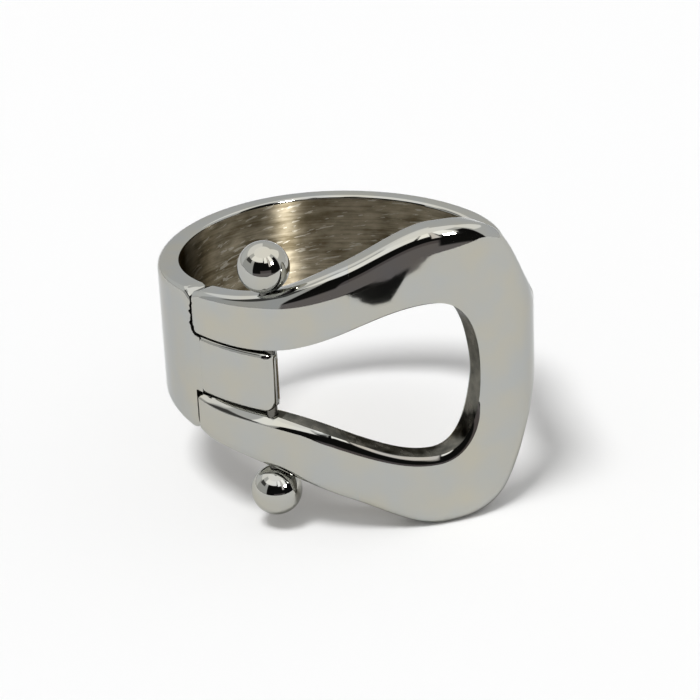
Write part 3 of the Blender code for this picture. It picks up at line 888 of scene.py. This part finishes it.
def tongueTool():
    shape = tongueShape
    wall = stirrupShape["wall"]
    seam = ringPlan["seamAngle"]
    nose = shape["tipAngle"] - shape["noseAngle"]
    bandEnd = seam + shankShape["spare"]
    flush = bandEnd + shape["flushAfter"]
    places = [(seam - shape["rootAngle"], shape["rootShare"]),  # angle, share of the wall
              (bandEnd - shape["sunkBefore"], 1.0 - 2.0 * shape["sunk"] / wall)]
    for index in range(shape["steps"] + 1):
        places.append((flush + (nose - flush) * index / shape["steps"], 1.0))
    for index in range(1, shape["noseSteps"] + 1):
        turn = 0.5 * math.pi * index / (shape["noseSteps"] + shape["noseBlunt"])
        places.append((nose + shape["noseAngle"] * math.sin(turn), math.cos(turn)))
    edge = roundEdge(shape["edgeRound"], shape["edgeRound"] * shape["roundDepth"])
    sections = []
    for angle, share in places:
        along = min(max((angle - seam) / (nose - seam), 0.0), 1.0)
        half = shape["rootHalfHeight"] + (shape["tipHalfHeight"] - shape["rootHalfHeight"]) * along
        half -= shape["noseDrop"] * (1.0 - share)
        rows = wallSection(2.0 * half, wall, edge, edge, shape["faceSteps"])
        section = []
        for across, depth, _ in rows:
            thinned = wall / 2.0 + (depth - wall / 2.0) * share
            section.append(wallPoint(angle, across - half + shape["lift"], thinned))
        sections.append(section)
    slots = [slot for _, _, slot in rows]
    return makeObject("tool", loft(sections, slots))


def buildShank():
    gap = math.degrees(ringPlan["partingGap"] / ringPlan["radius"])
    shank = shankBand()
    lapDepth = ringPlan["lapWall"] + ringPlan["lapClearance"]
    before = -cutter["pastLap"]
    cut(shank, notchTool(1.0, notchShape["upperCorner"], ringPlan["seamGap"]))
    cut(shank, notchTool(-1.0, notchShape["lowerCorner"], ringPlan["lowerSeamGap"]))
    cut(shank, sectorTool(before, gap, cutter["above"], cutter["below"]))
    cut(shank, sectorTool(before, ringPlan["lapAngle"] + gap, cutter["above"], lapDepth))
    cut(shank, tongueTool(), "UNION")
    cut(shank, boreTool(stirrupShape["boreRadius"], tongueShape["boreReach"]))
    smoothed(shank)
    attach(shank, "shank")
    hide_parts("shank")
    return shank


shank = buildShank()
print("shank built:", len(shank.data.polygons), "faces")

# pin and balls
hingeShape = {
    "ballRadius": 1.40 * mm,
    "holeRadius": 0.32 * mm,
    "holeDepth": 1.00 * mm,
    "pinRadius": 0.30 * mm,
    "pinChamfer": 0.05 * mm,
    "steps": 64,
}


def buildBall(node, side):
    low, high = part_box(node)
    centre = (Vector(low) + Vector(high)) / 2.0
    radius, hole = hingeShape["ballRadius"], hingeShape["holeRadius"]
    outer = low.z if side < 0 else high.z
    middle = outer - side * radius
    mouth = math.asin(hole / radius)
    floor = middle + side * (hingeShape["holeDepth"] - radius)
    profile = [(0.0, floor), (hole, floor)]
    steps = hingeShape["steps"]
    for index in range(steps):
        turn = mouth + (math.pi - mouth) * index / steps
        profile.append((radius * math.sin(turn), middle - side * radius * math.cos(turn)))
    profile.append((0.0, outer))
    ball = makeObject(node + "_polished", lathe(profile, centre, 2 * steps), (ballNickel,))
    smoothed(ball)
    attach(ball, "pin")
    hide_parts(node)
    return ball


def buildPin():
    low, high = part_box("hinge_pin")
    radius, chamfer = hingeShape["pinRadius"], hingeShape["pinChamfer"]
    profile = [(0.0, low.z), (radius - chamfer, low.z), (radius, low.z + chamfer),
               (radius, high.z - chamfer), (radius - chamfer, high.z), (0.0, high.z)]
    turned = lathe(profile, pinPlace, hingeShape["steps"])
    pin = makeObject("hinge_pin_turned", turned, (pinSteelShaded,))
    smoothed(pin)
    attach(pin, "pin")
    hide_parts("hinge_pin")
    return pin


balls = [buildBall("upper_ball", 1.0), buildBall("lower_ball", -1.0)]
pin = buildPin()
print("pin and balls built")

# studio: a pale table that ends in front, a plain sky for it, and a room that the metal mirrors
studio = {
    "floorTone": 0.95,
    "floorRoughness": 0.9,
    "floorEnd": 45.5 * mm,  # in front of the ring's middle
    "cardTone": 0.012,  # a black card at the table's end, seen by the metal alone
    "cardRoughness": 1.0,
    "cardOutline": (  # in millimetres
        (-4.0, -46.6), (0.5, -44.4), (4.5, -42.6), (8.5, -42.9), (11.5, -44.6), (16.0, -46.6)),
    "cardRise": 0.05 * mm,  # against the ring's lowest point
    "floorDrop": 0.02 * mm,
    "floorSize": 3.0,
    "ambient": 0.50,  # what the sky gives the floor
    "keyTone": 0.54,  # what the key lamp gives it
    "keyAzimuth": -42.0,  # degrees from the front, to the right
    "keyElevation": 68.0,
    "keyDistance": 1.0,
    "keyAngle": 20.0,
    "spotAzimuth": 45.0,  # small bright window, seen by the metal alone
    "spotElevation": 29.0,
    "spotDistance": 0.4,
    "spotSize": 0.062,
    "spotTone": 112.0,
    "softness": 2.0,  # degrees over which a zone's edge fades
    "roomTone": (0.78, 0.79, 0.80),
    "zones": (  # azimuth from and to, elevation from and to, tone
        (-400.0, 400.0, 46.0, 60.0, (0.76, 0.77, 0.78)),  # ceiling
        (-400.0, 400.0, 59.0, 100.0, (1.35, 1.35, 1.36)),
        (-150.0, -104.0, 8.0, 36.0, (0.84, 0.86, 0.88)),
        (-186.0, -98.0, 34.0, 60.0, (1.25, 1.25, 1.26)),
        (-104.0, -46.0, -90.0, 34.0, (0.58, 0.59, 0.60)),  # left wall
        (-96.0, -62.0, 26.0, 40.0, (0.080, 0.080, 0.080)),
        (-46.0, 78.0, -90.0, 4.0, (0.136, 0.120, 0.128)),  # beyond the table's end
        (-46.0, 78.0, -90.0, -7.0, (0.215, 0.200, 0.210)),
        (-46.0, 78.0, 3.0, 46.0, (0.008, 0.008, 0.008)),  # dark room in front
        (34.0, 78.0, -12.0, 6.0, (0.010, 0.010, 0.010)),
        (-46.0, -12.0, -9.0, 6.0, (0.010, 0.010, 0.010)),
        (-72.0, 2.0, 40.0, 60.0, (1.50, 1.50, 1.50)),  # soft boxes
        (8.0, 26.0, 36.0, 60.0, (1.70, 1.70, 1.70)),
        (28.0, 36.0, 18.0, 60.0, (1.08, 1.03, 1.02)),
        (38.0, 58.0, 34.0, 60.0, (1.80, 1.80, 1.80)),
        (84.0, 130.0, 30.0, 62.0, (1.35, 1.35, 1.35)),
    ),
}


def wayTo(azimuth, elevation):
    turn, rise = math.radians(azimuth), math.radians(elevation)
    level = math.cos(rise)
    return Vector((math.sin(turn) * level, -math.cos(turn) * level, math.sin(rise)))


def makeMatte(name, tone, roughness):
    material = bpy.data.materials.new(name)
    material.use_nodes = True
    shader = material.node_tree.nodes["Principled BSDF"]
    shader.inputs["Base Color"].default_value = (tone, tone, tone, 1.0)
    shader.inputs["Roughness"].default_value = roughness
    shader.inputs["Specular IOR Level"].default_value = 0.0
    return material


def makeFloor():
    data = bmesh.new()
    half = studio["floorSize"] / 2.0
    bmesh.ops.create_grid(data, x_segments=1, y_segments=1, size=half)
    paint = makeMatte("studio_floor", studio["floorTone"], studio["floorRoughness"])
    floor = makeObject("studio_floor", data, (paint,))
    floor.location = (0.0, half - studio["floorEnd"], cadBox[0].z - studio["floorDrop"])


def makeCard():
    data = bmesh.new()
    height = cadBox[0].z + studio["cardRise"]
    corners = [(x * mm, y * mm, height) for x, y in studio["cardOutline"]]
    data.faces.new([data.verts.new(corner) for corner in corners])
    paint = makeMatte("dark_card", studio["cardTone"], studio["cardRoughness"])
    card = makeObject("dark_card", data, (paint,))
    card.visible_camera = False
    card.visible_diffuse = False
    card.visible_shadow = False


def makeLamp(name, kind, azimuth, elevation, distance):
    way = wayTo(azimuth, elevation)
    lamp = bpy.data.lights.new(name, kind)
    item = bpy.data.objects.new(name, lamp)
    item.location = way * distance
    item.rotation_mode = "QUATERNION"
    item.rotation_quaternion = way.to_track_quat("Z", "Y")
    scene.collection.objects.link(item)
    return item


def makeLamps():
    key = makeLamp("key_lamp", "SUN", studio["keyAzimuth"], studio["keyElevation"],
                   studio["keyDistance"])
    key.data.angle = math.radians(studio["keyAngle"])
    key.data.energy = studio["keyTone"] * math.pi / math.sin(math.radians(studio["keyElevation"]))
    key.visible_glossy = False
    spot = makeLamp("window_lamp", "AREA", studio["spotAzimuth"], studio["spotElevation"],
                    studio["spotDistance"])
    spot.data.size = studio["spotSize"]
    spot.data.energy = studio["spotTone"] * math.pi * studio["spotSize"] ** 2
    spot.visible_diffuse = False


def makeWorld():
    world = bpy.data.worlds.new("studio")
    world.use_nodes = True
    scene.world = world
    tree = world.node_tree
    tree.nodes.clear()
    place = tree.nodes.new("ShaderNodeTexCoord")
    split = tree.nodes.new("ShaderNodeSeparateXYZ")
    tree.links.new(place.outputs["Generated"], split.inputs[0])
    x, y, z = split.outputs
    ahead = mathNode(tree, "MULTIPLY", y, -1.0)
    azimuth = mathNode(tree, "DEGREES", mathNode(tree, "ARCTAN2", x, ahead))
    elevation = mathNode(tree, "DEGREES", mathNode(tree, "ARCSINE", z))
    soft = studio["softness"] / 2.0

    def between(value, start, end):
        rise = ranged(tree, value, 0.0, 1.0, start - soft, start + soft)
        fall = ranged(tree, value, 0.0, 1.0, end - soft, end + soft)
        return mathNode(tree, "SUBTRACT", rise, fall)

    room = studio["roomTone"]
    for fromAzimuth, toAzimuth, fromElevation, toElevation, tone in studio["zones"]:
        mask = mathNode(tree, "MULTIPLY", between(azimuth, fromAzimuth, toAzimuth),
                        between(elevation, fromElevation, toElevation))
        room = mixedColour(tree, mask, room, tone)
    path = tree.nodes.new("ShaderNodeLightPath")
    seen = [path.outputs[label] for label in ("Is Camera Ray", "Is Transmission Ray")]
    direct = mathNode(tree, "MAXIMUM", *seen)
    sky = joined(tree, *[mathNode(tree, "MAXIMUM", direct, studio["ambient"])] * 3)
    colour = mixedColour(tree, path.outputs["Is Glossy Ray"], sky, room)
    background = tree.nodes.new("ShaderNodeBackground")
    tree.links.new(colour, background.inputs["Color"])
    output = tree.nodes.new("ShaderNodeOutputWorld")
    tree.links.new(background.outputs[0], output.inputs[0])


makeFloor()
makeCard()
makeLamps()
makeWorld()

view = {
    "elevation": 22.65,
    "roll": -2.66,
    "distance": 140.6 * mm,
    "lens": 127.1,
    "sensor": 36.0,
    "clip": (0.005, 10.0),
    "lookBelow": 0.885,  # degrees under the ring's middle
}


def makeCamera():
    data = bpy.data.cameras.new("camera")
    data.sensor_width = view["sensor"]
    data.lens = view["lens"]
    data.clip_start, data.clip_end = view["clip"]
    camera = bpy.data.objects.new("camera", data)
    rise = math.radians(view["elevation"])
    forward = Vector((0.0, math.cos(rise), -math.sin(rise)))
    level = Vector((1.0, 0.0, 0.0))
    up = level.cross(forward)
    roll = math.radians(view["roll"])
    right = level * math.cos(roll) + up * math.sin(roll)
    top = up * math.cos(roll) - level * math.sin(roll)
    camera.location = -forward * view["distance"]
    dip = math.radians(view["lookBelow"])
    aim = forward * math.cos(dip) - top * math.sin(dip)
    top = right.cross(aim)
    camera.rotation_mode = "QUATERNION"
    camera.rotation_quaternion = Matrix((right, top, -aim)).transposed().to_quaternion()
    scene.collection.objects.link(camera)
    scene.camera = camera


makeCamera()
scene.view_settings.view_transform = "Standard"
print("studio and camera set")
